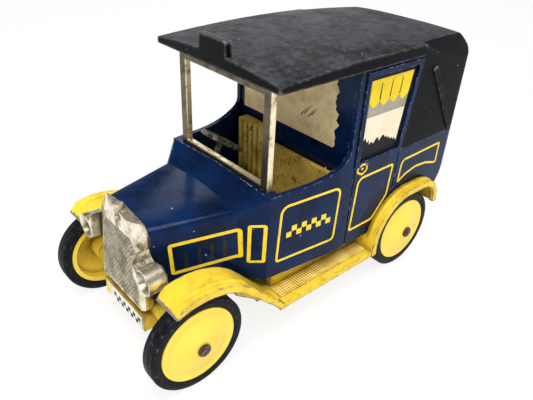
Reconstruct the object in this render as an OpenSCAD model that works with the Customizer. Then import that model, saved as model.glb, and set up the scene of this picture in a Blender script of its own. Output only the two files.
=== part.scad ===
// Toy taxi: die-cast chassis and body, plastic roof with a folding rear hood, disc wheels.
// The car faces -Y, its left side is +X, and the tyres stand on z = 0.

/* [Running gear] */
// Distance between the two axles
wheelbase = 60; // [57:0.5:63]
// Outer radius of a tyre
tyre_r = 9.9; // [9.6:0.1:10.1]
// Width of a tyre
tyre_w = 3.3; // [3:0.1:3.5]
// Radius of a wheel disc, where the tyre sits
rim_r = 7.85; // [7.2:0.05:8.3]
// Outer plane of the wheel rims, from the centre line
wheel_x = 20.3; // [20.1:0.1:20.8]
// Height of the domed middle of a wheel disc over its rim
dome_h = 1.3; // [0.8:0.1:1.6]
// Radius of that dome
dome_r = 5.9; // [5:0.1:6.5]
// Wall of a wheel disc
disc_t = 1; // [0.8:0.1:1.3]
// Radius of an axle
axle_r = 0.95; // [0.8:0.05:1.1]
// Radius of the riveted axle ends
head_r = 1.35; // [1.25:0.05:1.8]
// Height of the riveted axle ends
head_h = 0.6; // [0.4:0.05:0.9]
// Radial clearance of an axle in its bores
run_clear = 0.05; // [0.02:0.01:0.1]
// End play of a wheel on each side
side_play = 0.15; // [0.1:0.05:0.2]
// How far the front right wheel has slid inwards along its axle
slide = 1.5; // [0:0.1:1.6]

/* [Chassis] */
// From the front axle forward to the mouths of the lamps
lamp_reach = 5.45; // [5.3:0.05:5.8]
// From the rear axle back to the hood, the rearmost point
rear_overhang = 17.6; // [16.5:0.1:19]
// Height of the underside
belly_z = 6.1; // [5.5:0.1:6.5]
// Thickness of the floor
floor_t = 1.8; // [1.4:0.1:2]
// From the front axle forward to the front beam's face
beam_reach = 4.3; // [4.2:0.05:4.5]
// Half-width of the front beam
beam_hw = 7.8; // [7.6:0.1:8]
// Height of the front beam's top, where the radiator stands
beam_z = 9.7; // [9.3:0.1:10.1]
// Outer face of the side walls under the body
valance_x = 14.9; // [14.6:0.1:14.9]
// Thickness of those walls
valance_t = 1.3; // [1:0.1:1.6]
// Height of those walls, where the interior stands
valance_z = 14.8; // [13.8:0.1:15.3]
// Top of the running boards
board_z = 8.4; // [8.1:0.1:8.8]
// Thickness of the running boards
board_t = 1.1; // [0.9:0.1:1.4]
// Outer edge of the running boards
board_x = 20.7; // [20.4:0.1:21]
// Width of the raised strip along a running board's edge
strip_w = 1.7; // [1:0.1:2.2]
// Height of that strip
strip_h = 0.2; // [0.1:0.05:0.3]
// Front end of the running boards, behind the front axle
board_front = 20.5; // [20:0.1:22]
// Gap between a tyre's tread and the mudguard over it
guard_gap = 0.8; // [0.8:0.1:1.1]
// Thickness of the mudguards
guard_t = 1.1; // [0.9:0.1:1.3]
// Inner edge of the front mudguards
guard_in_x = 14.2; // [14:0.1:14.8]
// How far the mudguards reach past the wheel rims
guard_reach = 0.6; // [0.4:0.1:0.9]
// Width of the turned-down lip of a mudguard
lip_w = 1; // [0.8:0.1:1.3]
// Drop of that lip below the mudguard
lip_drop = 0.45; // [0.2:0.05:0.45]

/* [Body] */
// Wall of the die-cast body
wall = 1.1; // [1:0.1:1.3]
// Height of the body's lower edge
sill_z = 12.8; // [12.5:0.1:13.3]
// Half-width of the body at the rear doors
body_hw = 18.3; // [18:0.1:18.6]
// Half-width at the scuttle's rear edge
cowl_hw = 16.3; // [16.2:0.1:16.8]
// Half-width at the bonnet's rear edge
bonnet_hw = 12.4; // [12:0.1:13]
// Half-width at the bonnet's front edge
nose_hw = 8.3; // [8.2:0.1:8.8]
// Height of the bonnet's ridge
bonnet_z = 29.9; // [29.3:0.1:30.5]
// Height of the scuttle's ridge at the windscreen
cowl_z = 32.7; // [32.3:0.1:33.3]
// Height of the ledge that carries the windscreen frame
ledge_z = 31.3; // [30.8:0.1:31.5]
// Height of the low front doors
waist_z = 31.8; // [31.5:0.1:32.3]
// Height of the belt line, where the hood stands
belt_z = 31.9; // [31.3:0.1:32.3]
// Height of the underside of the roof
eaves_z = 52.6; // [51.3:0.1:54.3]
// Radius of the upright rear corners
corner_r = 2.6; // [2:0.1:3]
// Radius of the tuck-under of the tail
tuck_r = 30; // [28:0.5:40]
// Height of the partition's lower edge
partition_z = 30.2; // [29.3:0.1:30.8]
// Height of the raised door frames over the body's side
frame_h = 0.35; // [0.2:0.05:0.5]
// Width of the raised door frames
frame_w = 1.1; // [0.8:0.1:1.4]
// Depth of the rear door windows
window_d = 0.4; // [0.3:0.05:0.6]

/* [Roof] */
// How far the roof panel reaches past the body's sides
roof_reach = 0.2; // [0.1:0.1:0.9]
// Height of the roof's front corner over its underside
roof_edge = 1.25; // [1:0.05:1.6]
// Rise of the roof's edge from the front to its highest place
roof_rise = 1.2; // [0.8:0.1:1.6]
// Crown of the roof from its edges to its middle
roof_crown = 1.2; // [0.8:0.1:1.6]
// Wall of the hood
hood_t = 1.2; // [1:0.1:1.5]
// Radius of the hood's upper rear edge
hood_r = 5.4; // [4.4:0.1:6]
// Width of the sign block
sign_w = 8; // [6:0.2:10]
// Height of the sign block over the roof's front edge
sign_h = 4; // [3.4:0.1:4.6]
// Depth of the sign block
sign_d = 1.5; // [1.2:0.1:2]

/* [Fittings] */
// Outer half-width of the windscreen frame
screen_hw = 14.2; // [13.6:0.1:14.4]
// Width of the frame's posts
post_w = 2.1; // [1.6:0.1:2.3]
// Depth of the frame
post_d = 1.5; // [1.2:0.1:1.6]
// Height of the frame's lower bar
bar_h = 1.4; // [1.1:0.1:1.6]
// Height of the frame's upper bar under the roof
lintel_h = 2.2; // [1.8:0.1:2.5]
// Height of the radiator's top at its middle
rad_z = 30.5; // [30.1:0.1:30.9]
// Half-width of the radiator
rad_hw = 8.15; // [8:0.05:8.3]
// Slope-back of the radiator's face over its height
rad_rake = 1; // [0.8:0.05:1.1]
// Gap between the front beam and the radiator's shell
rad_gap = 1.8; // [1.6:0.1:2.2]
// Width of the bevels beside the radiator's face
rad_bevel = 1.9; // [1.4:0.1:2.4]
// Depth of those bevels
rad_bevel_d = 0.6; // [0.4:0.1:0.8]
// Height of the chamfers at its upper corners
rad_cut = 3.2; // [2.6:0.1:3.6]
// Radius of a lamp barrel
lamp_r = 2.6; // [2.4:0.05:2.65]
// Distance of a lamp from the centre line
lamp_x = 11.1; // [11:0.1:11.4]
// Height of the lamps
lamp_z = 21.15; // [20.7:0.05:21.5]
// Length of a lamp barrel
lamp_l = 3.9; // [3.4:0.1:4]
// Rise of a lamp's neck over the lamp's middle
neck_rise = 4.2; // [3.6:0.1:4.4]
// Radius of the hollow under that neck's upper edge
neck_r = 2; // [1.6:0.1:2.2]
// Wall of a lamp cup
lamp_t = 0.45; // [0.35:0.05:0.6]
// Radius of the steering wheel
steer_r = 5.1; // [4.4:0.1:5.3]
// Thickness of the steering wheel's rim
steer_t = 1; // [0.8:0.1:1.2]
// Lean of the steering column from upright
steer_lean = 33; // [31:1:36]
// Distance of the steering column from the centre line
steer_x = 9; // [8:0.1:9.2]
// Number of pleats in the driver's seat
pleats = 5; // [4:1:6]
// Thickness of the paper labels
label_t = 0.2; // [0.15:0.05:0.3]
// Thickness of the front plate
plate_t = 0.3; // [0.2:0.05:0.4]

/* [Hidden] */
$fn = 64;

// Overlap that joins shapes of one casting, and the play of pieces that only sit together
weld = 0.02;
seat = 0.05;

// Stations along the car, measured back from the front axle
front_axle_y = (tyre_r - wheelbase - rear_overhang) / 2;
tail_b = wheelbase + rear_overhang;
beam_front = -beam_reach;
rad_face_b = beam_front - 0.1;
rad_back_b = -1.85;
nose_b = rad_back_b + seat;
bonnet_b = 14.6;
cowl_b = 19;
ledge_b = 21.7;
cabin_l = tail_b - ledge_b;
front_door_share = 0.3095;
both_doors_share = 0.6512;
partition_b = ledge_b + front_door_share * cabin_l;
full_b = partition_b - 3;
door_b = partition_b + wall;
roof_b = 17.9;
roof_peak_b = 47;
screen_b = ledge_b - 0.15 - post_d;
deck_b = ledge_b - 3.5;
board_rear = wheelbase - tyre_r - guard_gap;
hood_top_b = ledge_b + both_doors_share * cabin_l;
hood_low_b = hood_top_b - 2.6;
rivet_front_b = 8;

// Wheels and axles
axle_z = tyre_r;
hub_r = axle_r + 1.35;
tyre_in_x = wheel_x - 0.1 - tyre_w;
hub_in_x = tyre_in_x - 0.2;
rear_bearing_x = hub_in_x - side_play;
front_bearing_x = rear_bearing_x - slide;
hub_out_x = wheel_x + dome_h;
head_x = hub_out_x + side_play;

// Mudguards
guard_x = wheel_x + guard_reach;
arch_r = tyre_r + guard_gap;
crest_z = axle_z + arch_r + guard_t;
crest_b = 1;
sweep_r = 16;
tail_arc_r = 5.8;
tail_arc_b = 5.2;
tub_in_x = 14.4;
tub_out_x = 15.6;

// Floor and posts
core_hw = beam_hw - wall - 0.8;
floor_z = belly_z + floor_t;
tuck_at_sill = tuck_r - sqrt(pow(tuck_r, 2) - pow(belt_z - sill_z, 2));
post_r = 2.6;
rivet_r = 1.3;
rivet_head_r = 2.2;
rivet_head_t = 0.7;
rivet_rear_b = tail_b - tuck_at_sill - wall - post_r + 0.5;

// Roof
roof_hw = body_hw + roof_reach;
roof_block_h = 6;
hood_solid_h = 3;
crown_ring_t = 60;

// Radiator and lamps
rad_low_z = beam_z + rad_gap;
foot_hw = core_hw - seat - 0.05;
cap_r = 0.85;
cap_h = 1.2;
cup_d = 1.6;
cup_step = 0.5;

// Steering
steer_b = ledge_b + 5.3;
column_r = steer_t / 2 + 0.2;
column_l = 10.6;
boss_r = 1.1;
boss_h = 1.2;
spoke_t = 0.7;

// Interior
tub_floor_t = 1.1;
tub_hw = 14.5;
tub_back_b = partition_b - 0.5;

// Points along an arc from angle a to angle b
function arc(cx, cy, r, a, b, n) =
    [for (i = [0:n]) [cx + r * cos(a + (b - a) * i / n), cy + r * sin(a + (b - a) * i / n)]];
// The same points in the other order
function flip(p) = [for (i = [len(p) - 1:-1:0]) p[i]];
// A half outline and its mirror image as one outline
function whole(p) = concat(p, [for (q = flip(p)) [-q[0], q[1]]]);

// Half outline of the cabin seen from above, drawn in by t
function cabin_half(t) = concat(
    [[cowl_hw - t, cowl_b], [body_hw - t, full_b]],
    arc(body_hw - corner_r, tail_b - corner_r, corner_r - t, 0, 90, 8));
// Outline of the tail's tuck-under from the sill to the belt, drawn in by t
function tail_line(t) =
    [for (i = [0:8]) let (z = sill_z + (belt_z - sill_z) * i / 8)
        [tail_b - t - tuck_r + sqrt(pow(tuck_r, 2) - pow(belt_z - z, 2)), z]];
// Half outline of the bonnet or scuttle seen from the front, with round shoulders
function hood_half(hw, ridge, shoulder, low) = concat(
    [[hw, low]],
    arc(hw - shoulder, ridge - 0.8 - shoulder, shoulder, 0, 80, 5),
    [[0, ridge]]);

// Outline of a rear wheel arch: the guard's surface moved out by t, closed at its foot
function arch_line(t, foot) = concat(
    [[wheelbase - arch_r - t, foot]],
    arc(wheelbase, axle_z, arch_r + t, 180, 90, 16),
    arc(wheelbase + tail_arc_b, axle_z + arch_r - tail_arc_r, tail_arc_r + t, 90, -5, 12));
// Upper line of a front mudguard, moved down by t
function sweep_line(t) = concat(
    [[-4.8 + 0.3 * t, axle_z + tyre_r - 0.6 - 0.1 * t]],
    arc(crest_b, crest_z - sweep_r, sweep_r - t, 105, 48, 14),
    [[board_front - 0.3 * t, board_z - min(t, board_t)]]);

// Everything is drawn from the front axle and moved into place at the end
module placed() translate([0, front_axle_y, 0]) children();
module both() {
    children();
    mirror([1, 0, 0]) children();
}
// A side outline (distance back, height) given its width from x = a to x = b
module side(a, b) translate([a, 0, 0]) rotate([90, 0, 90]) linear_extrude(b - a) children();
// A front outline (x, height) given its depth from a to b
module front(a, b) translate([0, b, 0]) rotate([90, 0, 0]) linear_extrude(b - a) children();
// A box from its two corners
module block(p, q) translate(p) cube(q - p);
// A round bar along X from x = a to x = b
module bar_x(a, b, r, at_b, z) translate([a, at_b, z]) rotate([0, 90, 0]) cylinder(r = r, h = b - a);

// Chassis
module front_guard() {
    side(guard_in_x, guard_x) polygon(concat(sweep_line(0), flip(sweep_line(guard_t))));
    side(guard_x - lip_w, guard_x)
        polygon(concat(sweep_line(0), flip(sweep_line(guard_t + lip_drop))));
}
module rear_guard() {
    foot = board_z - board_t;
    side(tub_in_x, guard_x)
        polygon(concat(arch_line(guard_t, foot), flip(arch_line(0, foot))));
    side(guard_x - lip_w, guard_x)
        polygon(concat(arch_line(guard_t, foot), flip(arch_line(-lip_drop, foot))));
    difference() {
        side(tub_in_x, tub_out_x)
            polygon(concat(arch_line(guard_t, belly_z), [[wheelbase + 11, belly_z]]));
        block([0, wheelbase + 9.5, 0], [guard_x, tail_b, axle_z]);
    }
}
module running_board() {
    block([valance_x - valance_t, board_front - 1, board_z - board_t], [board_x, board_rear, board_z]);
    block([board_x - strip_w, board_front, board_z - weld], [board_x, board_rear, board_z + strip_h]);
    block([valance_x - valance_t, ledge_b, belly_z], [valance_x, board_rear, valance_z]);
    side(valance_x - valance_t, valance_x)
        polygon(concat([for (p = sweep_line(guard_t / 2)) if (p[0] > 10.5) p],
            [[board_front, belly_z], [deck_b, belly_z], [deck_b, belly_z + 0.6],
                [12.5, board_z + 2.6]]));
}
module axle_bores() {
    for (b = [0, wheelbase])
        bar_x(-rear_bearing_x - 1, rear_bearing_x + 1, axle_r + run_clear, b, axle_z);
}
module rivet_bores(r) {
    for (b = [rivet_front_b, rivet_rear_b])
        translate([0, b, belly_z - 1]) cylinder(r = r, h = sill_z);
}
module chassis() color("gold") placed() difference() {
    union() {
        block([-beam_hw, beam_front, belly_z], [beam_hw, bonnet_b, beam_z]);
        block([-core_hw, nose_b, belly_z], [core_hw, bonnet_b, sill_z]);
        block([-beam_hw, bonnet_b - 1, belly_z], [beam_hw, deck_b + weld, floor_z]);
        block([-valance_x, deck_b, belly_z], [valance_x, rivet_rear_b + 3.4, floor_z]);
        translate([0, rivet_rear_b, belly_z]) cylinder(r = post_r + 0.6, h = sill_z - belly_z);
        block([-tub_in_x - weld, rivet_rear_b + 2.2, belly_z],
            [tub_in_x + weld, rivet_rear_b + 3.4, sill_z - seat]);
        both() {
            front_guard();
            rear_guard();
            running_board();
            bar_x(core_hw - weld, front_bearing_x, hub_r, 0, axle_z);
            bar_x(tub_in_x, rear_bearing_x, hub_r, wheelbase, axle_z);
        }
    }
    axle_bores();
    rivet_bores(rivet_r + seat);
    for (b = [rivet_front_b, rivet_rear_b])
        translate([0, b, belly_z - 1]) cylinder(r = rivet_head_r + seat, h = 1 + rivet_head_t + seat);
}

// Body
module bonnet_skin(t) {
    low = sill_z - (t > 0 ? 1 : 0);
    hull() {
        front(nose_b + t, nose_b + t + 0.1)
            polygon(whole(hood_half(nose_hw - t, bonnet_z - t, 2.4, low)));
        front(bonnet_b - 0.1, bonnet_b)
            polygon(whole(hood_half(bonnet_hw - t, bonnet_z - t, 1.5, low)));
    }
    hull() {
        front(bonnet_b - 0.1, bonnet_b)
            polygon(whole(hood_half(bonnet_hw - t, bonnet_z - t, 1.5, low)));
        front(cowl_b - t, cowl_b - t + 0.1)
            polygon(whole(hood_half(cowl_hw - 2.2 * t, cowl_z - t, 1, low)));
    }
}
// Side outline of the cabin: sill, tail, belt, door post, low front door
module cabin_side() polygon(concat(
    tail_line(0),
    [[hood_low_b - seat, belt_z], [hood_top_b - seat, eaves_z], [partition_b - 0.4, eaves_z]],
    arc_sweep(),
    [[cowl_b, waist_z], [cowl_b, sill_z]]));
function arc_sweep() =
    [for (i = [0:8]) let (a = 90 * i / 8)
        [partition_b - 12.6 + 12.2 * cos(a), waist_z + 4.7 * (1 - sin(a))]];
// Rear door, outer edge of its raised frame, drawn in by t
function door_line(t) = [
    [door_b + t, eaves_z - 0.3 - t],
    [hood_top_b - 0.3 - 1.1 * t, eaves_z - 0.3 - t],
    [hood_low_b - 0.3 - t, belt_z + 0.3 + t],
    [door_b + t, belt_z + 0.3 + t]];
module door_grooves() {
    for (b = [door_b + 0.1, hood_low_b - 0.5])
        block([body_hw - 0.3, b, sill_z - 1], [body_hw + 1, b + 0.35, belt_z + 0.3]);
}
module body_posts() {
    translate([0, rivet_front_b, sill_z]) cylinder(r = post_r, h = bonnet_z - sill_z - 1);
    translate([0, rivet_rear_b, sill_z]) cylinder(r = post_r, h = belt_z - sill_z - 6);
}
module column_axis() translate([-steer_x, steer_b, waist_z]) rotate([-steer_lean, 0, 0]) children();
module body_shell() color("midnightblue") placed() difference() {
    union() {
        difference() {
            union() {
                bonnet_skin(0);
                intersection() {
                    translate([0, 0, sill_z]) linear_extrude(eaves_z - sill_z)
                        polygon(whole(cabin_half(0)));
                    side(-body_hw, body_hw) cabin_side();
                }
                both() side(body_hw - 0.5, body_hw + frame_h) difference() {
                    polygon(door_line(0));
                    polygon(door_line(frame_w));
                }
            }
            bonnet_skin(wall);
            difference() {
                translate([0, 0, sill_z - 1]) linear_extrude(eaves_z) intersection() {
                    polygon(whole(cabin_half(wall)));
                    translate([-body_hw, ledge_b]) square([2 * body_hw, tail_b]);
                }
                block([-body_hw, partition_b, partition_z], [body_hw, door_b, eaves_z]);
                side(-body_hw, body_hw)
                    polygon(concat(tail_line(wall), [[tail_b, belt_z], [tail_b, sill_z]]));
            }
        }
        body_posts();
    }
    block([-screen_hw - seat, screen_b - seat, ledge_z], [screen_hw + seat, ledge_b + 1, eaves_z]);
    both() {
        side(body_hw - window_d, body_hw + 1) polygon(door_line(frame_w));
        side(tub_in_x - 1, body_hw + 1)
            polygon(concat(arch_line(guard_t + 0.15, 0), [[wheelbase + 12.2, 0]]));
        door_grooves();
    }
    rivet_bores(rivet_r + seat);
    column_axis() translate([0, 0, -column_l - 3.4]) cylinder(r = column_r + seat, h = column_l + 3.4);
}

// Interior: floor, back wall and pleated seat on the right
module interior_tub() color("goldenrod") placed() {
    back_z = partition_z - seat;
    seat_out = tub_hw - 0.4;
    pleat_w = 1.75;
    seat_z = partition_z + 0.15 * (eaves_z - partition_z);
    seat_in = seat_out - pleats * pleat_w;
    block([-tub_hw, ledge_b + 0.2, valance_z], [tub_hw, tub_back_b, valance_z + tub_floor_t]);
    block([-tub_hw, tub_back_b - 1.2, valance_z], [tub_hw, tub_back_b, back_z]);
    block([-seat_out, tub_back_b - 2.2, valance_z], [-seat_in, tub_back_b, seat_z]);
    block([-seat_out, tub_back_b - 8.4, valance_z], [-seat_in, tub_back_b, valance_z + 6]);
    for (i = [0:pleats - 1])
        translate([-seat_out + pleat_w * (i + 0.5), tub_back_b - 2.2, valance_z])
            cylinder(r = pleat_w / 2, h = seat_z - valance_z);
}

// Roof and hood
// The roof arches along the car with a large radius, and its section across is crowned
arch_bow_r = pow(roof_peak_b - roof_b, 2) / (2 * roof_rise);
function roof_edge_z(b) =
    eaves_z + roof_edge + roof_rise * (1 - pow((b - roof_peak_b) / (roof_peak_b - roof_b), 2));
function crown_line(n) =
    [for (i = [-n:n]) let (x = (roof_hw + 1) * i / n)
        [arch_bow_r + roof_crown * (1 - pow(x / roof_hw, 2)), x]];
module roof_crown_solid()
    translate([0, roof_peak_b, roof_edge_z(roof_peak_b) - arch_bow_r]) rotate([0, 90, 0])
        rotate_extrude($fn = 240)
            polygon(concat(crown_line(6),
                [[arch_bow_r - crown_ring_t, roof_hw + 1], [arch_bow_r - crown_ring_t, -roof_hw - 1]]));
// Side outline of the roof and hood together
module roof_side() {
    top = eaves_z + roof_block_h;
    bend = roof_edge_z(tail_b - hood_r) + roof_crown - hood_r;
    polygon(concat(
        [[roof_b, eaves_z], [roof_b, top], [tail_b - hood_r, top]],
        arc(tail_b - hood_r, bend, hood_r, 90, 0, 8),
        [[tail_b, belt_z], [hood_low_b, belt_z], [hood_top_b, eaves_z]]));
}
function hood_half_plan(t) = concat(
    [[body_hw - t, hood_low_b - 1]],
    arc(body_hw - corner_r, tail_b - corner_r, corner_r - t, 0, 90, 8));
function roof_half_plan() = concat(
    [[roof_hw, roof_b]],
    arc(roof_hw - corner_r, tail_b - corner_r, corner_r, 0, 90, 8));
module hood_iron() {
    top = [hood_top_b + 4.6, eaves_z - 3.2];
    foot = [tail_b - corner_r - 0.8, belt_z + 1];
    lean = atan2(top[0] - foot[0], top[1] - foot[1]);
    side(body_hw - 0.3, body_hw + 0.45) translate(foot) rotate(-lean) translate([-0.6, 0])
        square([1.2, norm(top - foot)]);
}
// The upper side edges of the hood fall away towards the tail
module hood_shoulder() hull() {
    top = eaves_z + roof_block_h;
    front(hood_top_b, hood_top_b + 0.1)
        polygon([[roof_hw - 1.6, eaves_z + 2.8], [roof_hw + 1, eaves_z + 2.8], [roof_hw + 1, eaves_z + 0.2]]);
    front(tail_b, tail_b + 1)
        polygon([[roof_hw - 6.4, top], [roof_hw + 1, top], [roof_hw + 1, eaves_z - 5]]);
}
module roof() color([0.1, 0.1, 0.11]) placed() {
    difference() {
        intersection() {
            side(-roof_hw, roof_hw) roof_side();
            union() {
                translate([0, 0, belt_z]) linear_extrude(eaves_z - belt_z + weld)
                    polygon(whole(hood_half_plan(0)));
                translate([0, 0, eaves_z]) linear_extrude(roof_block_h) polygon(whole(roof_half_plan()));
            }
            roof_crown_solid();
        }
        both() hood_shoulder();
        translate([0, 0, belt_z - 1]) linear_extrude(eaves_z - hood_solid_h - belt_z + 1)
            polygon(whole(hood_half_plan(hood_t)));
    }
    both() hood_iron();
    block([-sign_w / 2, roof_b, eaves_z], [sign_w / 2, roof_b + sign_d, eaves_z + roof_edge + sign_h]);
}

// Windscreen frame between the scuttle's ledge and the roof
module windscreen_frame() color("tan") placed() difference() {
    block([-screen_hw, screen_b, ledge_z], [screen_hw, screen_b + post_d, eaves_z]);
    block([-screen_hw + post_w, screen_b - 1, ledge_z + bar_h],
        [screen_hw - post_w, screen_b + post_d + 1, eaves_z - lintel_h]);
}

// Radiator: shell with bevelled sides, foot, filler cap, and two hollow lamps on necks
// Half outline of the shell, hw wide at its upper corner and foot at its lower edge
function rad_half(hw, foot, top) =
    [[foot, rad_low_z], [hw, top - rad_cut - 1.1], [hw - rad_cut, top - 0.8], [0, top]];
module lamp_place() translate([lamp_x, -lamp_reach, lamp_z]) rotate([-90, 0, 0]) children();
module lamp_neck() difference() {
    in_x = rad_hw - 0.25;
    front(-lamp_reach, rad_back_b - 0.15) polygon(concat(
        [[in_x, lamp_z - 1], [in_x, lamp_z + neck_rise]],
        arc(rad_hw + neck_r, lamp_z + neck_rise, neck_r, 180, 270, 6),
        [[lamp_x, lamp_z], [lamp_x - lamp_r + 0.4, lamp_z - 1]]));
    lamp_place() translate([0, 0, -1]) cylinder(r = lamp_r - weld, h = lamp_l + 1);
}
module radiator() color("silver") placed() {
    back_hw = nose_hw - 0.4;
    hull() {
        translate([0, rad_face_b, rad_low_z]) rotate([-atan(rad_rake / (rad_z - rad_low_z)), 0, 0])
            translate([0, 0, -rad_low_z]) {
                front(0, 0.1) polygon(whole(rad_half(rad_hw - rad_bevel, rad_hw - 0.5, rad_z - 0.4)));
                front(rad_bevel_d, rad_bevel_d + 0.1)
                    polygon(whole(rad_half(rad_hw, rad_hw, rad_z - 0.2)));
            }
        front(rad_back_b - 0.1, rad_back_b) polygon(whole(
            [[back_hw, rad_low_z], [back_hw, rad_z - 2], [back_hw - 1, rad_z - 0.8], [0, rad_z]]));
    }
    block([-foot_hw, rad_face_b + 0.8, beam_z], [foot_hw, rad_back_b, rad_low_z + 0.5]);
    translate([0, rad_back_b - 1.1, rad_z - cap_h / 2]) cylinder(r = cap_r, h = cap_h);
    both() {
        lamp_neck();
        lamp_place() rotate_extrude() polygon([
            [0, lamp_l], [0, cup_d], [lamp_r - lamp_t - cup_step, cup_d - cup_step], [lamp_r - lamp_t, 0],
            [lamp_r, 0], [lamp_r, lamp_l - cup_step], [lamp_r - cup_step, lamp_l]]);
    }
}

// Steering wheel and column in one piece
module steering_wheel() color([0.12, 0.11, 0.1]) placed() column_axis() {
    rotate_extrude() translate([steer_r - steer_t / 2, 0]) circle(r = steer_t / 2, $fn = 24);
    for (a = [45:90:315])
        rotate([0, 0, a]) translate([0, -spoke_t / 2, -spoke_t / 2])
            cube([steer_r - steer_t / 2, spoke_t, spoke_t]);
    translate([0, 0, -boss_h / 2]) cylinder(r = boss_r, h = boss_h);
    translate([0, 0, -column_l]) cylinder(r = column_r, h = column_l);
}

// Plate and labels
module front_plate() color("white") placed()
    block([-beam_hw + 0.4, beam_front - plate_t, belly_z + 0.35],
        [beam_hw - 0.4, beam_front, beam_z - 0.35]);
module partition_label() color("wheat") placed()
    block([-0.86 * body_hw, partition_b - label_t, partition_z + 0.23 * (eaves_z - partition_z)],
        [0.71 * body_hw, partition_b, eaves_z - 1]);
module window_label() placed() side(body_hw - window_d, body_hw - window_d + label_t)
    polygon(door_line(frame_w + 1));
module left_window_label() color("wheat") window_label();
module right_window_label() color("wheat") mirror([1, 0, 0]) window_label();

// Rivets that hold the body's posts to the chassis, flush with the underside
module body_rivets() color("gray") placed()
    for (b = [rivet_front_b, rivet_rear_b]) translate([0, b, belly_z]) {
        cylinder(r = rivet_head_r, h = rivet_head_t);
        cylinder(r = rivet_r, h = sill_z - belly_z + 3);
    }

// Axles with both ends riveted over
module axle(b) color("sienna") placed() translate([0, b, axle_z]) {
    bar_x(-head_x - weld, head_x + weld, axle_r, 0, 0);
    both() translate([head_x, 0, 0]) rotate([0, 90, 0]) rotate_extrude()
        polygon(concat([[0, 0]], [for (i = [0:6]) [head_r * cos(15 * i), head_h * sin(15 * i)]]));
}
module front_axle() axle(0);
module rear_axle() axle(wheelbase);

// Wheel discs: flat rim, domed middle, hollow back with a hub
function disc_line() = concat(
    [for (i = [0:8]) let (r = axle_r + run_clear + (dome_r - axle_r - run_clear) * i / 8)
        [r, wheel_x + dome_h * (1 - pow(r / dome_r, 2))]],
    [[rim_r, wheel_x], [rim_r, tyre_in_x + 0.2], [rim_r - disc_t, tyre_in_x + 0.2],
        [rim_r - disc_t, wheel_x - disc_t]],
    [for (i = [0:4]) let (r = dome_r + (hub_r - dome_r) * i / 4)
        [r, wheel_x - disc_t + dome_h * (1 - pow(r / dome_r, 2))]],
    [[hub_r, hub_in_x], [axle_r + run_clear, hub_in_x]]);
module disc(b) color("yellow") placed() translate([0, b, axle_z]) rotate([0, 90, 0])
    rotate_extrude($fn = 96) polygon(disc_line());
module front_left_disc() disc(0);
module front_right_disc() translate([slide, 0, 0]) mirror([1, 0, 0]) disc(0);
module rear_left_disc() disc(wheelbase);
module rear_right_disc() mirror([1, 0, 0]) disc(wheelbase);

// Tyres with rounded shoulders
function tyre_line() = let (s = 0.15 * tyre_w) concat(
    [[rim_r + 0.02, 0]],
    arc(tyre_r - s, s, s, -90, 0, 5),
    arc(tyre_r - s, tyre_w - s, s, 0, 90, 5),
    [[rim_r + 0.02, tyre_w]]);
module tyre(b) color([0.08, 0.08, 0.08]) placed() translate([tyre_in_x, b, axle_z]) rotate([0, 90, 0])
    rotate_extrude($fn = 96) polygon(tyre_line());
module front_left_tyre() tyre(0);
module front_right_tyre() translate([slide, 0, 0]) mirror([1, 0, 0]) tyre(0);
module rear_left_tyre() tyre(wheelbase);
module rear_right_tyre() mirror([1, 0, 0]) tyre(wheelbase);

chassis();
body_shell();
interior_tub();
roof();
windscreen_frame();
radiator();
steering_wheel();
front_plate();
partition_label();
left_window_label();
right_window_label();
body_rivets();
front_axle();
rear_axle();
front_left_disc();
front_right_disc();
rear_left_disc();
rear_right_disc();
front_left_tyre();
front_right_tyre();
rear_left_tyre();
rear_right_tyre();
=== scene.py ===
# Looks of an old die-cast toy taxi: enamelled castings, plastic roof, plated fittings, disc wheels.
# The car faces -Y, its left side is +X, and the tyres stand on z = 0.
import math
import random

import bmesh
import bpy
from mathutils import Matrix, Vector
from mathutils.bvhtree import BVHTree


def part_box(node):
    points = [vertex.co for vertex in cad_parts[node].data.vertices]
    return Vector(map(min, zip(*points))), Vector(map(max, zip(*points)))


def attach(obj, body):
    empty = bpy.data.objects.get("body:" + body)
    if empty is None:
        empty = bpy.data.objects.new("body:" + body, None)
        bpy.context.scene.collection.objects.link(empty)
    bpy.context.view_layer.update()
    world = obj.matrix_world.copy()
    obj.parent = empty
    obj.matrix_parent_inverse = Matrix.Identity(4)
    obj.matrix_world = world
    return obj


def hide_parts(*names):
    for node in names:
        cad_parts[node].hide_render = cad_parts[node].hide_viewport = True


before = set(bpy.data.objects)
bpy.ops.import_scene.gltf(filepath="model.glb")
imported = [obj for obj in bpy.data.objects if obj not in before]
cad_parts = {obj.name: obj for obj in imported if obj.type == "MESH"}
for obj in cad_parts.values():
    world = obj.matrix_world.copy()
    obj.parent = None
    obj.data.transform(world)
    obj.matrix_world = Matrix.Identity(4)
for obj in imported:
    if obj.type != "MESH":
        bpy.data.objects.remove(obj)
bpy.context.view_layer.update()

# Chassis
# One zinc die casting with mudguards, running boards and the front beam, sprayed with yellow
# stoving enamel. Handling has chipped its edges; its corners are painted darker brown, part dirt and part
# painted shade.
mm = 0.001
weld_gap, flat_angle, roll_steps, sunk = 0.002, 0.5, 5, 0.03
axle_low, axle_high = (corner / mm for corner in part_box("front_axle"))
axle_y, axle_z = (axle_low.y + axle_high.y) / 2, (axle_low.z + axle_high.z) / 2


def at(x, b, z):
    """A point at x across, b behind the front axle and z above the ground, all in millimetres."""
    return Vector((x, axle_y + b, z)) * mm


def linear(code):
    """An sRGB hex colour as linear red, green, blue and alpha."""
    parts = [int(code[i:i + 2], 16) / 255 for i in (1, 3, 5)]
    return [p / 12.92 if p <= 0.04045 else ((p + 0.055) / 1.055) ** 2.4 for p in parts] + [1]


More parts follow.
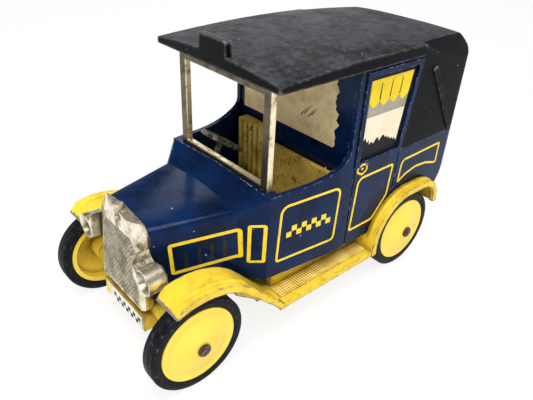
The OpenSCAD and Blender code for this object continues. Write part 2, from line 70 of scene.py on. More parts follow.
def link(tree, node, inputs):
    """Sets a node's inputs: a node or a socket is linked to them, and a constant is their value."""
    for key, value in dict(inputs).items():
        if isinstance(value, bpy.types.Node):
            value = next(end for end in value.outputs if end.enabled)
        if isinstance(value, bpy.types.NodeSocket):
            tree.links.new(value, node.inputs[key])
        else:
            node.inputs[key].default_value = value


def add(tree, kind, inputs=(), **settings):
    """Adds one shader node with its settings and its input values or links."""
    node = tree.nodes.new("ShaderNode" + kind)
    for name, value in settings.items():
        setattr(node, name, value)
    link(tree, node, inputs)
    return node


def noise(tree, place, size, detail, roughness=0.5):
    """Cloudy noise with its largest clouds about a size in millimetres across."""
    return add(tree, "TexNoise", {"Vector": place, "Scale": 1 / (size * mm), "Detail": detail,
                                  "Roughness": roughness})


def remap(tree, value, given, wanted=(0, 1), **settings):
    """Takes a value from a given range to a wanted one, and holds it inside that."""
    return add(tree, "MapRange", {"Value": value, "From Min": given[0], "From Max": given[1],
                                  "To Min": wanted[0], "To Max": wanted[1]}, **settings)


def combine(tree, operation, one, two, clamp=False):
    """One step of arithmetic with two values, held between nought and one if clamped."""
    return add(tree, "Math", {0: one, 1: two}, operation=operation, use_clamp=clamp)


def ramp(tree, value, stops):
    """Turns a value into colours, by stops of a place and a hex colour."""
    node = add(tree, "ValToRGB", {0: value})
    elements = node.color_ramp.elements
    for i, (place, shade) in enumerate(stops):
        stop = elements[i] if i < len(elements) else elements.new(place)
        stop.position = place
        stop.color = linear(shade)
    return node


def cover(tree, share, under, over):
    """Covers the colours under it with a share of one hex colour."""
    return add(tree, "Mix", {0: share, 6: under, 7: linear(over)}, data_type="RGBA")


def in_recesses(tree, patchy, reach, given, most, samples=6, **settings):
    """How far a surface is darkened: most in its recesses, and broken up by noise. The darkening is dirt and
    also painted shade.
    """
    # Ambient occlusion picks the recesses, so this darkening is painted shade as well as dirt.
    recess = add(tree, "AmbientOcclusion", {"Distance": reach * mm}, samples=samples, **settings)
    recess_darkening = remap(tree, recess.outputs["AO"], given, (0, most))
    return combine(tree, "MULTIPLY", recess_darkening, patchy, clamp=True)


def on_edges(tree, reach, given):
    """One along a piece's outer edges, falling to nought a short reach away from them."""
    rim = add(tree, "AmbientOcclusion", {"Distance": reach * mm}, samples=6, inside=True, only_local=True)
    return remap(tree, rim.outputs["AO"], given)


def specks(tree, place, patchy, pitch, given, most):
    """One inside scattered round specks, which are largest where the noise is high."""
    dots = add(tree, "TexVoronoi", {"Vector": place, "Scale": 1 / (pitch * mm)})
    dot_size = remap(tree, patchy, given, (0, most))
    return combine(tree, "LESS_THAN", dots.outputs["Distance"], dot_size)


def blank(name, **values):
    """A new material with its node tree, its shader with constant values, and the piece's coordinates."""
    made = bpy.data.materials.new(name)
    made.use_nodes = True
    tree = made.node_tree
    shader = tree.nodes["Principled BSDF"]
    for key, value in values.items():
        shader.inputs[key.replace("_", " ")].default_value = value
    place = add(tree, "TexCoord").outputs["Object"]
    return made, tree, shader, place


def enamel(name, colour, shade, grime_and_shade, stain, bare, recess_reach, edge_reach, chip_share, speck_size):
    """Stoved enamel on a zinc casting: glossy with a faint ripple, blotched, darkened in the recesses with
    dirt and painted shade, and chipped on the edges and in specks, where the bare metal shows."""
    made, tree, shader, place = blank(name, IOR=1.5, Specular_IOR_Level=0.12)
    clouds = noise(tree, place, size=9, detail=4)
    tint = ramp(tree, clouds, [(0.35, shade), (0.62, colour)])
    blotch = noise(tree, place, size=5, detail=7, roughness=0.65)
    spread = remap(tree, blotch, (0.5, 0.72), (0, 0.75))
    blotched = cover(tree, spread, tint, stain)
    smear = noise(tree, place, size=2.2, detail=6, roughness=0.7)
    # The recess colour is dirt and painted shade: it darkens whatever ambient occlusion finds sheltered.
    dirt_and_painted_shade = in_recesses(tree, smear, recess_reach, given=(0.9, 0.3), most=1.5)
    stained_and_shaded = cover(tree, dirt_and_painted_shade, blotched, grime_and_shade)
    near_edge = on_edges(tree, edge_reach, given=(0.95, 0.5))
    flakes = noise(tree, place, size=1.5, detail=5, roughness=0.6)
    knocked = combine(tree, "MULTIPLY", near_edge, flakes)
    edge_chips = remap(tree, knocked, (0.6 - chip_share, 0.64 - chip_share))
    worn_patch = noise(tree, place, size=11, detail=2)
    pocks = specks(tree, place, worn_patch, pitch=2.7, given=(0.46, 0.7), most=speck_size)
    chips = combine(tree, "MAXIMUM", edge_chips, pocks)
    colours = cover(tree, chips, stained_and_shaded, bare)
    rough = remap(tree, smear, (0.3, 0.8), (0.1, 0.28))
    ripple = noise(tree, place, size=1.8, detail=2)
    peel = add(tree, "Bump", {"Strength": 0.3, "Distance": 0.05 * mm, "Height": ripple})
    pitted = add(tree, "Bump", {"Strength": 0.7, "Distance": 0.06 * mm, "Height": chips,
                                "Normal": peel}, invert=True)
    link(tree, shader, {"Base Color": colours, "Roughness": rough, "Normal": pitted})
    return made


def settle(piece, material, body, slot, *nodes):
    """Gives a piece its material and says what it rides on and what it stands for; its slot is not used."""
    piece.data.materials.clear()
    piece.data.materials.append(material)
    bpy.context.scene.collection.objects.link(piece)
    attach(piece, body)
    if nodes:
        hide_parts(*nodes)
    return piece


def soften(piece, edge, steps=3, angle=32):
    """Breaks a piece's sharp edges to a small radius and shades it as one smooth skin."""
    mesh = piece.data
    mesh.polygons.foreach_set("use_smooth", [True] * len(mesh.polygons))
    mesh.set_sharp_from_angle(angle=math.radians(angle))
    if edge:
        rounding = piece.modifiers.new("edges", "BEVEL")
        rounding.width = edge * mm
        rounding.segments = steps
        rounding.limit_method = "ANGLE"
        rounding.angle_limit = math.radians(angle)
        rounding.harden_normals = True
        piece.modifiers.new("shading", "WEIGHTED_NORMAL").keep_sharp = True
    return piece


def built(name, shape):
    """An object from a finished bmesh, its faces turned outwards."""
    bmesh.ops.recalc_face_normals(shape, faces=shape.faces)
    mesh = bpy.data.meshes.new(name)
    shape.to_mesh(mesh)
    shape.free()
    return bpy.data.objects.new(name, mesh)


def from_solid(node, name, edge, rolls=(), angle=32):
    """A new piece with a solid's shape: its facets joined to whole faces, chosen edges rolled over
    and all other sharp edges broken."""
    shape = bmesh.new()
    shape.from_mesh(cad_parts[node].data)
    bmesh.ops.remove_doubles(shape, verts=shape.verts, dist=weld_gap * mm)
    bmesh.ops.dissolve_limit(shape, angle_limit=math.radians(flat_angle), verts=shape.verts,
                             edges=shape.edges)
    for chosen, radius in rolls:
        edges = [e for e in shape.edges if len(e.link_faces) == 2 and chosen(e)]
        bmesh.ops.bevel(shape, geom=edges, offset=radius * mm, segments=roll_steps, profile=0.5,
                        affect="EDGES", clamp_overlap=True)
    piece = built(name, shape)
    for layer in [a.name for a in piece.data.attributes if a.name == "custom_normal"]:
        piece.data.attributes.remove(piece.data.attributes[layer])
    return soften(piece, edge, angle=angle)


guard_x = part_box("chassis")[1].x / mm
board_x, board_z = 20.7, 8.4
guard_roll, board_roll, slack = 0.9, 0.5, 0.02


def guard_rim(edge):
    """The upper outer edge of a mudguard, where the casting rolls over."""
    outside = all(abs(v.co.x) > (guard_x - slack) * mm for v in edge.verts)
    normals = [f.normal for f in edge.link_faces]
    faces_up = max(n.z for n in normals) > 0.1
    faces_out = max(abs(n.x) for n in normals) > 0.9
    return outside and faces_up and faces_out


def board_rim(edge):
    """The upper outer edge of a running board."""
    return all(abs(abs(v.co.x) - board_x * mm) < slack * mm and v.co.z > (board_z + 0.1) * mm
               for v in edge.verts)


yellow = enamel("yellow_enamel_on_zinc", colour="#f3d543", shade="#e9c334", grime_and_shade="#5e3f0e", stain="#b98420",
                bare="#77726a", recess_reach=2.6, edge_reach=0.55, chip_share=0.29, speck_size=0.12)
chassis = from_solid("chassis", "chassis_casting", edge=0.25,
                     rolls=[(guard_rim, guard_roll), (board_rim, board_roll)])
settle(chassis, yellow, "car", "yellow_paint", "chassis")

# Mudguard beads
# Cast beads that stiffen the mudguards, one along each outer rim.
# They stand highest, so their enamel is the most worn.
bead_w, bead_h, bead_in, bead_steps, run_out = 1.3, 0.32, 1.75, 8, 3
crest_r, crest_b, crest_z = 16, 1, axle_z - 4.2
arch_r, tail_r, tail_b, tail_z = 11.8, 6.9, 65.2, axle_z + 4.9
front_tip, front_foot = Vector((-4.6, axle_z + 9.3)), Vector((19.8, 8.9))
wheelbase = 60
sides = ((1, "left"), (-1, "right"))


def arc(b, z, r, start, end, steps):
    """Points (b, z) along an arc seen from the car's side."""
    angles = [math.radians(start + (end - start) * i / steps) for i in range(steps + 1)]
    return [Vector((b + r * math.cos(a), z + r * math.sin(a))) for a in angles]


guard_lines = {
    "front": [front_tip] + arc(crest_b, crest_z, crest_r, start=104, end=50, steps=26) + [front_foot],
    "rear": (arc(wheelbase, axle_z, arch_r, start=176, end=90, steps=26)
             + arc(tail_b, tail_z, tail_r, start=86, end=2, steps=16)),
}


def bead(shape, path, x, width, height):
    """Adds a half-round bead to a mesh, along a path (b, z) on a surface that faces outwards at x."""
    rows = []
    for i, p in enumerate(path):
        along = path[min(i + 1, len(path) - 1)] - path[max(i - 1, 0)]
        out = Vector((-along.y, along.x)).normalized()
        full = min(1, i / run_out, (len(path) - 1 - i) / run_out)
        row = []
        for k in range(bead_steps + 1):
            a = math.pi * k / bead_steps
            spot = p + out * (math.sin(a) * height * full - sunk)
            row.append(shape.verts.new(at(x - math.cos(a) * width / 2, spot.x, spot.y)))
        rows.append(row)
    for one, two in zip(rows, rows[1:]):
        for j in range(bead_steps):
            shape.faces.new((one[j], two[j], two[j + 1], one[j + 1]))


for side, word in sides:
    for end, path in guard_lines.items():
        shape = bmesh.new()
        bead(shape, path, side * (guard_x - bead_in), bead_w, bead_h)
        settle(soften(built(word + "_" + end + "_guard_bead", shape), edge=0), yellow, "car", "yellow_paint")

# Running board treads
# The casting's boards are stippled between the body and a smooth outer strip.
# Between the pips the enamel is painted darker brown, with dust, polish and painted shade; the pip tops carry
# a painted highlight.
tread_in, tread_out, tread_front, tread_rear = 14.95, 18.98, 20.9, 49.0
pip_pitch, pip_h, pip_round, low_pip = 0.64, 0.22, 0.7, 0.35
tread_sunk, tread_lift, end_fade, edge_fade = 0.02, 0.04, 40, 8


def patch(name, rows, columns, point):
    """A grid of faces with a point for each row and column, given as shares from 0 to 1."""
    mesh = bpy.data.meshes.new(name)
    spots = [point(i / rows, j / columns) for i in range(rows + 1) for j in range(columns + 1)]
    corners = [(i * (columns + 1) + j, i * (columns + 1) + j + 1, (i + 1) * (columns + 1) + j + 1,
                (i + 1) * (columns + 1) + j) for i in range(rows) for j in range(columns)]
    mesh.from_pydata(spots, [], corners)
    mesh.polygons.foreach_set("use_smooth", [True] * len(mesh.polygons))
    return bpy.data.objects.new(name, mesh)


def stippled_enamel():
    """The same yellow enamel over cast pips, coloured by height: worn tops with a painted highlight, and
    brown polish, dust and painted shade in between.
    """
    made, tree, shader, place = blank("stippled_yellow_enamel", IOR=1.5)
    height = add(tree, "SeparateXYZ", {0: place}).outputs["Z"]
    # Height lightens the pip tops and darkens the hollows: painted highlight and painted shade, on top of the
    # noise's wear and dust.
    top = remap(tree, height, (board_z * mm, (board_z + pip_h) * mm), (0, 0.55))
    smear = noise(tree, place, size=3.2, detail=6, roughness=0.7)
    worn = combine(tree, "ADD", top, smear)
    tint = ramp(tree, worn, [(0.34, "#6b4a10"), (0.52, "#b88a1c"), (0.75, "#e4c24c"), (0.98, "#fbeea6")])
    rough = remap(tree, worn, (0.4, 1.0), (0.6, 0.3))
    link(tree, shader, {"Base Color": tint, "Roughness": rough})
    return made


stippled = stippled_enamel()
for side, word in sides:
    def stipple(i, j, side=side):
        """A point of the tread: pips in diagonal rows, with lower ones between, sunk along its edges."""
        x = tread_in + (tread_out - tread_in) * j
        b = tread_front + (tread_rear - tread_front) * i
        u, v = (x + b) / pip_pitch, (x - b) / pip_pitch
        pip = max(0, math.cos(math.pi * u) * math.cos(math.pi * v)) ** pip_round
        pip += low_pip * max(0, math.sin(math.pi * u) * math.sin(math.pi * v))
        edge = min(1, end_fade * i, end_fade * (1 - i), edge_fade * j, edge_fade * (1 - j))
        return at(side * x, b, board_z - tread_sunk + edge * (tread_lift + pip_h * min(1, pip)))
    tread = patch(word + "_running_board_tread", rows=200, columns=30, point=stipple)
    if side > 0:
        tread.data.flip_normals()
    settle(tread, stippled, "car", "yellow_paint")

# Axles
# Two steel pins through the chassis, their ends riveted over outside the wheels.
# Never plated, they have rusted brown.


def rusted_steel():
    """Bare drawn steel with a brown skin of rust: dull and speckled, a little metal on the high spots."""
    made, tree, shader, place = blank("rusted_steel")
    bloom = noise(tree, place, size=0.7, detail=6, roughness=0.7)
    tint = ramp(tree, bloom, [(0.3, "#241813"), (0.5, "#4a332b"), (0.68, "#8f7f7c")])
    metal = remap(tree, bloom, (0.45, 0.7), (0.3, 0.9))
    rough = remap(tree, bloom, (0.35, 0.7), (0.6, 0.36))
    bump = add(tree, "Bump", {"Strength": 0.5, "Distance": 0.05 * mm, "Height": bloom})
    link(tree, shader, {"Base Color": tint, "Metallic": metal, "Roughness": rough, "Normal": bump})
    return made


rust = rusted_steel()
for node in ("front_axle", "rear_axle"):
    settle(from_solid(node, node + "_pin", edge=0.08), rust, "car", "rivet_steel", node)

# Wheel discs
# Yellow polystyrene mouldings with a domed face inside a flat rim, and a hollow back with a hub
# and fine moulded ribs. Each turns freely on its axle.
bore_r, dome_r, rim_r, hub_r = 1.0, 5.9, 7.85, 2.3
dome_h, disc_t, rim_depth, hub_depth = 1.3, 1.0, 3.2, 3.6
groove_in, groove_out, groove_depth, rim_round = 0.14, 0.34, 0.05, 0.15
face_steps, back_steps, rib_steps = 18, 8, 5
rib_count, rib_w, rib_h, rib_root = 48, 0.16, 0.18, 0.05
rib_start, rib_length = hub_r + 0.1, rim_r - disc_t - hub_r - 0.15


def dome(r):
    """Height of the domed face at a radius, over the rim's plane."""
    return dome_h * (1 - (min(r, dome_r) / dome_r) ** 2)


def turned(name, outline, steps=144):
    """Spins a closed outline of (radius, outward) points about the X axis, as on a lathe."""
    count = len(outline)
    shape = bmesh.new()
    rings = [[shape.verts.new(Vector((out, r * math.cos(a), r * math.sin(a))) * mm) for r, out in outline]
             for a in (2 * math.pi * i / steps for i in range(steps))]
    for one, two in zip(rings, rings[1:] + rings[:1]):
        for j in range(count):
            shape.faces.new((one[j], one[(j + 1) % count], two[(j + 1) % count], two[j]))
    return soften(built(name, shape), edge=0.1, steps=2, angle=40)


def glossy_plastic():
    """Moulded polystyrene in a solid yellow: smooth and glossy, with fine scuffs, and darker in corners with
    dust and painted shade.
    """
    made, tree, shader, place = blank("moulded_yellow_polystyrene", IOR=1.59)
    dust = noise(tree, place, size=2.5, detail=5)
    # The dark brown in corners is dust and painted shade, laid by ambient occlusion.
    dirt_and_painted_shade = in_recesses(tree, dust, reach=1.6, given=(0.75, 0.2), most=1.4)
    clouds = noise(tree, place, size=6, detail=2)
    tint = ramp(tree, clouds, [(0.35, "#f7d640"), (0.65, "#fbdd49")])
    mixed = cover(tree, dirt_and_painted_shade, tint, "#6d5212")
    scuffs = noise(tree, place, size=0.9, detail=4, roughness=0.7)
    rough = remap(tree, scuffs, (0.3, 0.75), (0.34, 0.52))
    grain = add(tree, "Bump", {"Strength": 0.15, "Distance": 0.03 * mm, "Height": scuffs})
    link(tree, shader, {"Base Color": mixed, "Roughness": rough, "Normal": grain})
    return made


face = [(r, dome(r)) for r in (bore_r + (dome_r - bore_r) * i / face_steps for i in range(face_steps + 1))]
back = [(r, dome(r) - disc_t)
        for r in (hub_r + (dome_r - hub_r) * i / back_steps for i in range(back_steps, -1, -1))]
disc_rim = [(dome_r + groove_in, -groove_depth), (dome_r + groove_out, 0), (rim_r - rim_round, 0),
            (rim_r, -rim_round), (rim_r, -rim_depth), (rim_r - disc_t, -rim_depth), (rim_r - disc_t, -disc_t)]
disc_outline = face + disc_rim + back + [(hub_r, -hub_depth), (bore_r, -hub_depth)]
disc_plastic = glossy_plastic()
wheels = {}
for word in ("front_left", "front_right", "rear_left", "rear_right"):
    low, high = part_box(word + "_disc")
    middle = (low + high) / 2
    middle.x = high.x - dome_h * mm if "left" in word else low.x + dome_h * mm
    wheels[word] = Matrix.Translation(middle) @ Matrix.Rotation(0 if "left" in word else math.pi, 4, "Z")
for word, placed in wheels.items():
    disc = turned(word + "_wheel_disc", disc_outline)
    disc.data.transform(placed)
    settle(disc, disc_plastic, word + "_wheel", "yellow_plastic", word + "_disc")
    shape = bmesh.new()
    for k in range(rib_count):
        turn = Matrix.Rotation(2 * math.pi * k / rib_count, 3, "X")
        rows = []
        for i in range(rib_steps + 1):
            r = rib_start + rib_length * i / rib_steps
            out = dome(r) - disc_t
            corners = ((out + rib_root, -rib_w / 2), (out - rib_h, -rib_w / 4),
                       (out - rib_h, rib_w / 4), (out + rib_root, rib_w / 2))
            rows.append([shape.verts.new(placed @ (turn @ Vector((x, r, z)) * mm)) for x, z in corners])
        for one, two in zip(rows, rows[1:]):
            for j in range(4):
                shape.faces.new((one[j], two[j], two[(j + 1) % 4], one[(j + 1) % 4]))
        shape.faces.new(rows[0])
        shape.faces.new(rows[-1])
    settle(built(word + "_disc_ribs", shape), disc_plastic, word + "_wheel", "yellow_plastic")

# Tyres
# Black moulded rubber rings stretched over the wheel rims, with rounded shoulders,
# a raised line on each sidewall and a parting line round the tread.
tyre_low, tyre_high = (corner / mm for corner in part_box("front_left_tyre"))
tyre_lift = 0.005
tyre_r, tyre_w = (tyre_high.z - tyre_low.z) / 2 - tyre_lift, tyre_high.x - tyre_low.x
tyre_in_r, lip_w, lip_h, shoulder, shoulder_steps = 7.87, 0.25, 0.2, 0.5, 6
line_r, line_h, line_foot, line_top = 8.9, 0.06, 0.25, 0.1
seam_h, seam_foot, seam_top = 0.03, 0.14, 0.07


def worn_rubber():
    """Moulded rubber gone dry: a near-black skin, mostly dull, scuffed paler where it has rolled."""
    made, tree, shader, place = blank("moulded_tyre_rubber", IOR=1.52, Specular_IOR_Level=0.12)
    scuffs = noise(tree, place, size=1.1, detail=6, roughness=0.7)
    tint = ramp(tree, scuffs, [(0.32, "#08090d"), (0.56, "#15161b"), (0.7, "#42434a")])
    rough = remap(tree, scuffs, (0.3, 0.75), (0.4, 0.7))
    bump = add(tree, "Bump", {"Strength": 0.35, "Distance": 0.05 * mm, "Height": scuffs})
    link(tree, shader, {"Base Color": tint, "Roughness": rough, "Normal": bump})
    return made


half = tyre_w / 2
flank = [(tyre_in_r, half - lip_w), (tyre_in_r + lip_h, half), (line_r - line_foot, half),
         (line_r - line_top, half + line_h), (line_r + line_top, half + line_h), (line_r + line_foot, half)]
flank += [(tyre_r - shoulder + shoulder * math.sin(a), half - shoulder + shoulder * math.cos(a))
          for a in (math.pi / 2 * i / shoulder_steps for i in range(shoulder_steps + 1))]
flank += [(tyre_r - seam_h, seam_foot), (tyre_r, seam_top)]
tyre_outline = flank + [(r, -out) for r, out in flank[::-1]]
rubber = worn_rubber()
for word, placed in wheels.items():
    low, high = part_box(word + "_tyre")
    tyre = turned(word + "_rubber_tyre", tyre_outline)
    tyre.data.transform(Matrix.Translation((low + high) / 2))
    settle(tyre, rubber, word + "_wheel", "tyre_rubber", word + "_tyre")

# Body
# One zinc die casting with bonnet, scuttle, low front doors, partition and closed rear doors,
# sprayed navy. It stands on the chassis and is held by two rivets from below.
navy = enamel("navy_enamel_on_zinc", colour="#0b264e", shade="#091b39", grime_and_shade="#140f0a", stain="#070e1d",
              bare="#98a0b0", recess_reach=2.2, edge_reach=0.28, chip_share=0.06, speck_size=0.1)
settle(from_solid("body_shell", "body_casting", edge=0.2, angle=14), navy, "car", "navy_paint", "body_shell")

# Coach lines
# Thin yellow lines printed on the body's sides: bonnet panel with louvres, scuttle, both doors,
# rear quarter and door handle. A plain row of checkers fills the front door panel.
line_w, line_lift, corner_steps, clear_x = 0.55, 0.04, 6, 30
body_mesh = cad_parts["body_shell"].data
body_skin = BVHTree.FromPolygons([v.co for v in body_mesh.vertices], [f.vertices for f in body_mesh.polygons])


def side_x(b, z):
    """Half-width of the body at a distance b behind the front axle and a height z."""
    return body_skin.ray_cast(at(clear_x, b, z), Vector((-1, 0, 0)))[0].x / mm


def rounded(corners, step=0.4):
    """Points along a closed outline of (b, z, radius) corners, with each corner rounded."""
    points = []
    for i, (b, z, radius) in enumerate(corners):
        here = Vector((b, z))
        before = (Vector(corners[i - 1][:2]) - here).normalized()
        after = (Vector(corners[(i + 1) % len(corners)][:2]) - here).normalized()
        half_angle = before.angle(after) / 2
        reach = radius / math.tan(half_angle)
        centre = here + (before + after).normalized() * radius / math.sin(half_angle)
        first = here + before * reach - centre
        turn = first.angle_signed(here + after * reach - centre)
        points += [centre + Matrix.Rotation(-turn * k / corner_steps, 2) @ first
                   for k in range(corner_steps + 1)]
    dense = []
    for p, q in zip(points, points[1:] + points[:1]):
        pieces = max(1, math.ceil((q - p).length / step))
        dense += [p.lerp(q, k / pieces) for k in range(pieces)]
    return dense


def ribbon(shape, points, width, side, closed=True):
    """Adds a thin raised line along points (b, z) of the body's side to a mesh."""
    count = len(points)
    rows = []
    for i, p in enumerate(points):
        ahead = points[(i + 1) % count] if closed else points[min(i + 1, count - 1)]
        behind = points[i - 1] if closed else points[max(i - 1, 0)]
        along = (ahead - behind).normalized()
        across = Vector((-along.y, along.x)) * width / 2
        section = ((p + across, -sunk), (p + across, line_lift), (p - across, line_lift), (p - across, -sunk))
        rows.append([shape.verts.new(at(side * (side_x(s.x, s.y) + lift), s.x, s.y)) for s, lift in section])
    for i in range(count if closed else count - 1):
        one, two = rows[i], rows[(i + 1) % count]
        for j in range(3):
            shape.faces.new((one[j], two[j], two[j + 1], one[j + 1]))
    if not closed:
        shape.faces.new(rows[0])
        shape.faces.new(rows[-1])


def printing_ink(name, colour, worn):
    """Screen ink on enamel: an even satin film, rubbed a little thin in places."""
    made, tree, shader, place = blank(name, IOR=1.5)
    rub = noise(tree, place, size=1.8, detail=5, roughness=0.65)
    tint = ramp(tree, rub, [(0.28, worn), (0.45, colour)])
    rough = remap(tree, rub, (0.3, 0.7), (0.55, 0.38))
    link(tree, shader, {"Base Color": tint, "Roughness": rough})
    return made


panels = {
    "bonnet": [(1.5, 24.8, 0.25), (14.9, 24.7, 0.25), (15.1, 18.5, 0.25), (1.9, 18.4, 0.25)],
    "scuttle": [(16.3, 25.6, 0.2), (18.6, 25.8, 0.2), (18.5, 17.3, 0.2), (16.25, 17.15, 0.2)],
    "front_door": [(22.0, 28.9, 1.7), (36.7, 29.1, 1.5), (36.1, 16.5, 1.0), (21.3, 16.3, 0.6)],
    "rear_door": [(42.2, 29.1, 1.6), (53.8, 29.1, 0.5), (53.3, 21.5, 2.0), (49.0, 16.45, 1.5),
                  (41.4, 16.4, 0.4)],
    "rear_quarter": [(57.3, 28.9, 1.4), (71.9, 29.3, 0.5), (72.0, 24.0, 0.3), (67.4, 25.3, 3.0),
                     (63.3, 25.6, 4.0), (59.6, 24.8, 3.0), (57.0, 23.4, 0.2)],
    "handle": [(41.2, 31.0, 0.6), (41.9, 32.8, 0.7), (44.0, 32.3, 0.7), (44.5, 30.8, 0.6), (43.0, 30.0, 0.6)],
}
wide_lines = {"bonnet": 0.7, "handle": 0.45}
handle_bar, bar_w = [(42.5, 31.5), (43.2, 31.35)], 0.5
yellow_ink = printing_ink("yellow_screen_ink", "#fbd62c", "#cda51f")
louvre_ink = printing_ink("black_screen_ink", "#14120c", "#1d1c17")
louvre_stations = [4.5, 7.0, 9.5, 12.0]
louvre_low, louvre_high, louvre_w, louvre_steps = 19.2, 22.9, 0.75, 8
check_size, check_rows, check_columns = 1.25, 2, 9
check_front, check_low = 23.4, 21.4
for side, word in sides:
    shape = bmesh.new()
    for name, corners in panels.items():
        ribbon(shape, rounded(corners), wide_lines.get(name, line_w), side)
    ribbon(shape, [Vector(p) for p in handle_bar], bar_w, side, closed=False)
    settle(built(word + "_coach_lines", shape), yellow_ink, "car", "yellow_paint")
    shape = bmesh.new()
    for b in louvre_stations:
        heights = [louvre_low + (louvre_high - louvre_low) * i / louvre_steps
                   for i in range(louvre_steps + 1)]
        ribbon(shape, [Vector((b, z)) for z in heights], louvre_w, side, closed=False)
    settle(built(word + "_bonnet_louvres", shape), louvre_ink, "car", "navy_paint")
    shape = bmesh.new()
    for row in range(check_rows):
        for column in range(row % 2, check_columns, 2):
            b, z = check_front + check_size * column, check_low + check_size * (row + 0.5)
            ribbon(shape, [Vector((b, z)), Vector((b + check_size, z))], check_size, side, closed=False)
    settle(built(word + "_door_checkers", shape), yellow_ink, "car", "yellow_paint")

# Interior
# A yellow plastic tub under the driver: floor, back wall and a pleated seat on the right.
# Years of dust and oil have turned it brown, most of all along the floor; its recesses are darkened further
# with painted shade.


def dirty_plastic():
    """Moulded polystyrene under old dust: mustard yellow, matt, brown in the corners with dust and painted
    shade, darkly speckled.
    """
    made, tree, shader, place = blank("dirty_yellow_polystyrene", IOR=1.59, Specular_IOR_Level=0.3)
    dust = noise(tree, place, size=2.4, detail=6, roughness=0.7)
    # The brown in corners and grooves is dust and painted shade, laid by ambient occlusion.
    dirt_and_painted_shade = in_recesses(tree, dust, reach=1.6, given=(0.9, 0.3), most=1.6, samples=8)
    clouds = noise(tree, place, size=7, detail=3)
    tint = ramp(tree, clouds, [(0.35, "#cfaa40"), (0.65, "#efd472")])
    dusted_and_shaded = cover(tree, dirt_and_painted_shade, tint, "#2a1d08")
    grit = specks(tree, place, dust, pitch=0.3, given=(0.38, 0.66), most=0.6)
    colours = cover(tree, grit, dusted_and_shaded, "#665119")
    rough = remap(tree, dust, (0.3, 0.7), (0.45, 0.7))
    bump = add(tree, "Bump", {"Strength": 0.3, "Distance": 0.05 * mm, "Height": dust})
    link(tree, shader, {"Base Color": colours, "Roughness": rough, "Normal": bump})
    return made


settle(from_solid("interior_tub", "interior_moulding", edge=0.3), dirty_plastic(),
       "car", "yellow_plastic", "interior_tub")

# Steering wheel
# Rim, four spokes and column moulded in one piece of brown plastic, once metallised:
# a grey metal skin is left on the rim's worn top.


def metallised_plastic():
    """Brown plastic with remains of a vacuum-metallised skin: dark, with dull silver streaks."""
    made, tree, shader, place = blank("metallised_brown_plastic", IOR=1.5)
    wear = noise(tree, place, size=1.4, detail=6, roughness=0.7)
    tint = ramp(tree, wear, [(0.42, "#15120f"), (0.5, "#3a2e22"), (0.57, "#8c8478"), (0.7, "#c9c2b4")])
    metal = remap(tree, wear, (0.53, 0.6))
    rough = remap(tree, wear, (0.4, 0.7), (0.55, 0.32))
    link(tree, shader, {"Base Color": tint, "Metallic": metal, "Roughness": rough})
    return made


settle(from_solid("steering_wheel", "steering_wheel_moulding", edge=0.12), metallised_plastic(),
       "car", "brown_plastic", "steering_wheel")

# Windscreen frame
# An open plated casting that stands on the scuttle and carries the front of the roof.
# Its thin nickel has yellowed to champagne; its corners are darkened brown with dirt and painted shade, and
# its forward faces with wear and painted shade.


def worn_plating(name, bright, dull, tarnish, front_darkening=0.0, recess_reach=2.6, recess_share=3.0):
    """Vacuum-plated nickel on a casting: soft mirror, warm with age, cloudy and brown where worn, darker in
    its recesses with dirt and painted shade, and darker on faces that point forwards with wear and painted
    shade.
    """
    made, tree, shader, place = blank(name)
    cloud = noise(tree, place, size=2.4, detail=6, roughness=0.68)
    # The recess colour is dirt and painted shade, laid by ambient occlusion.
    grime_and_shade = in_recesses(tree, cloud, recess_reach, given=(0.8, 0.2), most=recess_share, only_local=True)
    tint = ramp(tree, cloud, [(0.38, tarnish), (0.48, dull), (0.6, bright)])
    # Faces that point forwards are darkened by their direction: wear, and painted shade as well.
    facing = add(tree, "SeparateXYZ", {0: add(tree, "NewGeometry").outputs["Normal"]}).outputs["Y"]
    front_shade_and_wear = remap(tree, facing, (-0.6, -0.95), (0, front_darkening))
    rubbed = cover(tree, front_shade_and_wear, tint, "#3a3226")
    colours = cover(tree, grime_and_shade, rubbed, "#2c241a")
    metal = remap(tree, cloud, (0.3, 0.46), (0.6, 0.9))
    rough = remap(tree, cloud, (0.35, 0.7), (0.46, 0.24))
    pits = noise(tree, place, size=0.5, detail=4)
    bump = add(tree, "Bump", {"Strength": 0.25, "Distance": 0.04 * mm, "Height": pits})
    link(tree, shader, {"Base Color": colours, "Metallic": metal, "Roughness": rough, "Normal": bump})
    return made


frame_plating = worn_plating("tarnished_nickel_plating", "#fff3d4", "#efdfb6", "#a58c62", front_darkening=0.88)
settle(from_solid("windscreen_frame", "windscreen_casting", edge=0.3), frame_plating,
       "car", "worn_plating", "windscreen_frame")

# Radiator
# A plated casting with both lamps in one piece. Its face is a honeycomb of fine slanting ribs
# that cross, under a plain header tank with a small boss.
plating = worn_plating("worn_nickel_plating", "#fff6e0", "#d6caac", "#6f6450")
settle(from_solid("radiator", "radiator_casting", edge=0.3, angle=24), plating,
       "car", "worn_plating", "radiator")
face_b, face_z, face_lean = -4.4, 11.5, math.atan(1 / 19.0)
field_low, field_corner, field_top = 0.4, 12.9, 14.6
field_foot_hw, field_hw, field_top_hw = 7.0, 5.9, 4.6
rib_pitch, rib_rise, rib_slope, rib_base, field_fade = 0.85, 0.36, 0.75, 0.05, 30
boss_r, boss_h, boss_x, boss_v = 0.75, 0.35, -0.4, 16.4
boss_sunk, boss_pole, boss_steps = -0.05, 0.001, 6


def on_face(u, v, proud):
    """A point on the radiator's leaning face: u across, v up it, and how far it stands proud."""
    lean, rise = math.sin(face_lean), math.cos(face_lean)
    return at(u, face_b + v * lean - proud * rise, face_z + v * rise + proud * lean)


